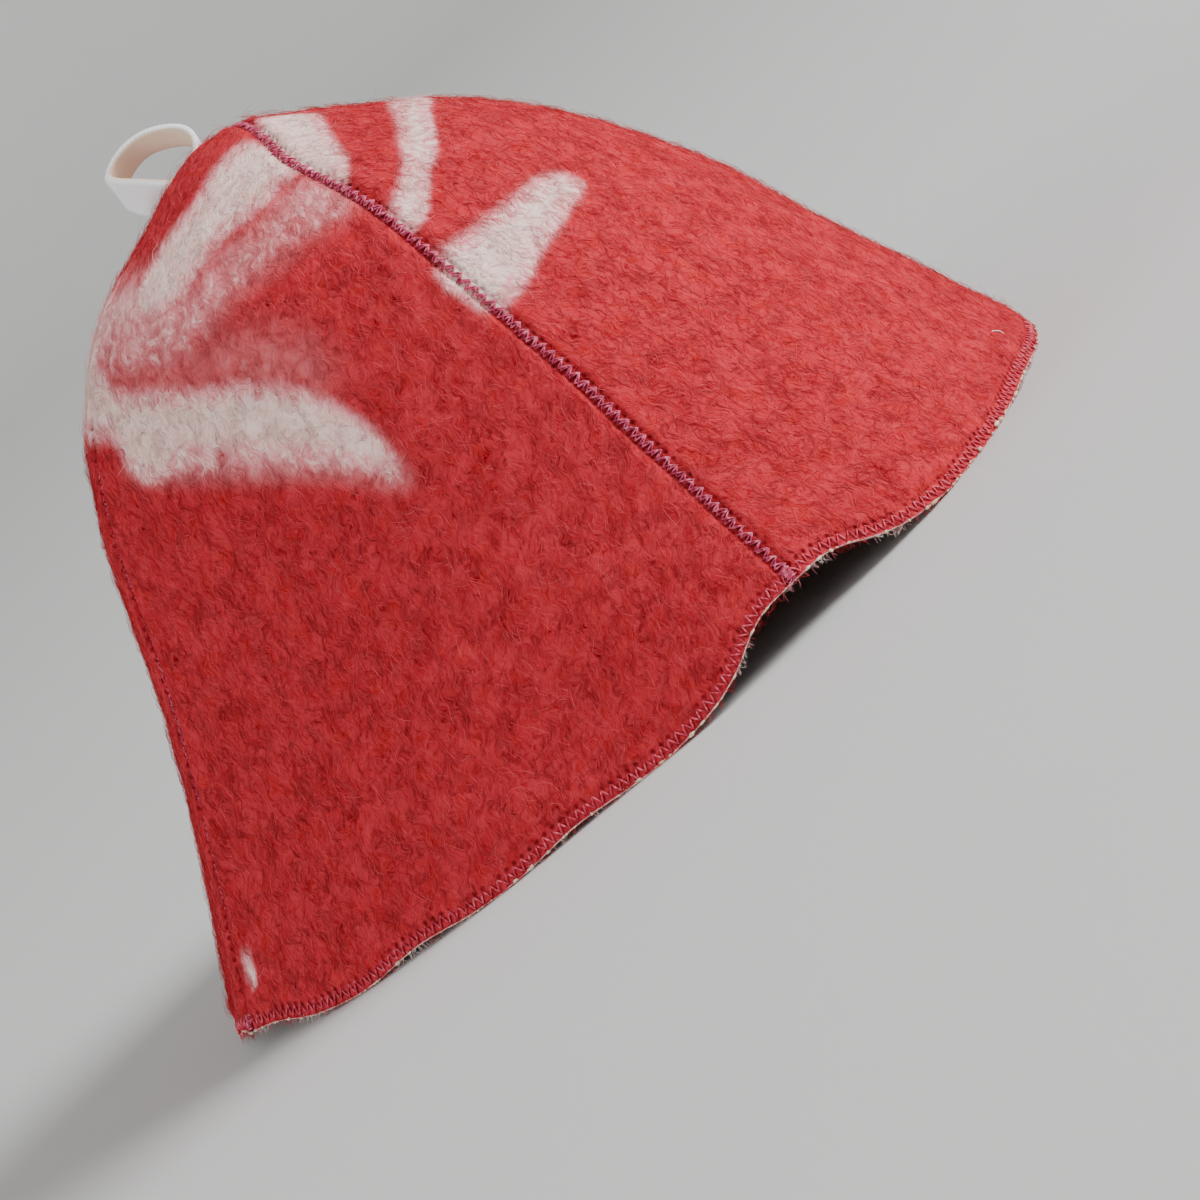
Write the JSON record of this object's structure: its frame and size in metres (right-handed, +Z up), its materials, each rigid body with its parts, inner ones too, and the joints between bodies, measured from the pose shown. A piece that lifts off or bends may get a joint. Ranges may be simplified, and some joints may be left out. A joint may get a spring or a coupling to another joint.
{
  "type": "sauna hat",
  "caption": "Bell-shaped felt sauna hat of gores sewn edge to edge, red with pale petal patches, with a wavy stitched hem and a tape hanging loop on the crown.",
  "frame": {"origin": "under the middle of the hem's box, on the surface that the hem rests on", "axes": "+Z up to the crown, +X to the wearer's front, -Y to the wearer's right"},
  "size_m": [0.2996, 0.2466, 0.2053],
  "materials": {
    "felt": "brushed wool felt with fuzzy pale petal patches",
    "tape": "white twill cotton tape",
    "thread": "dusty pink sewing thread"
  },
  "bodies": {
    "root": {"gore_front": "felt", "gore_right": "felt", "gore_back": "felt", "gore_left": "felt", "hanging_loop": "tape"}
  },
  "joints": []
}
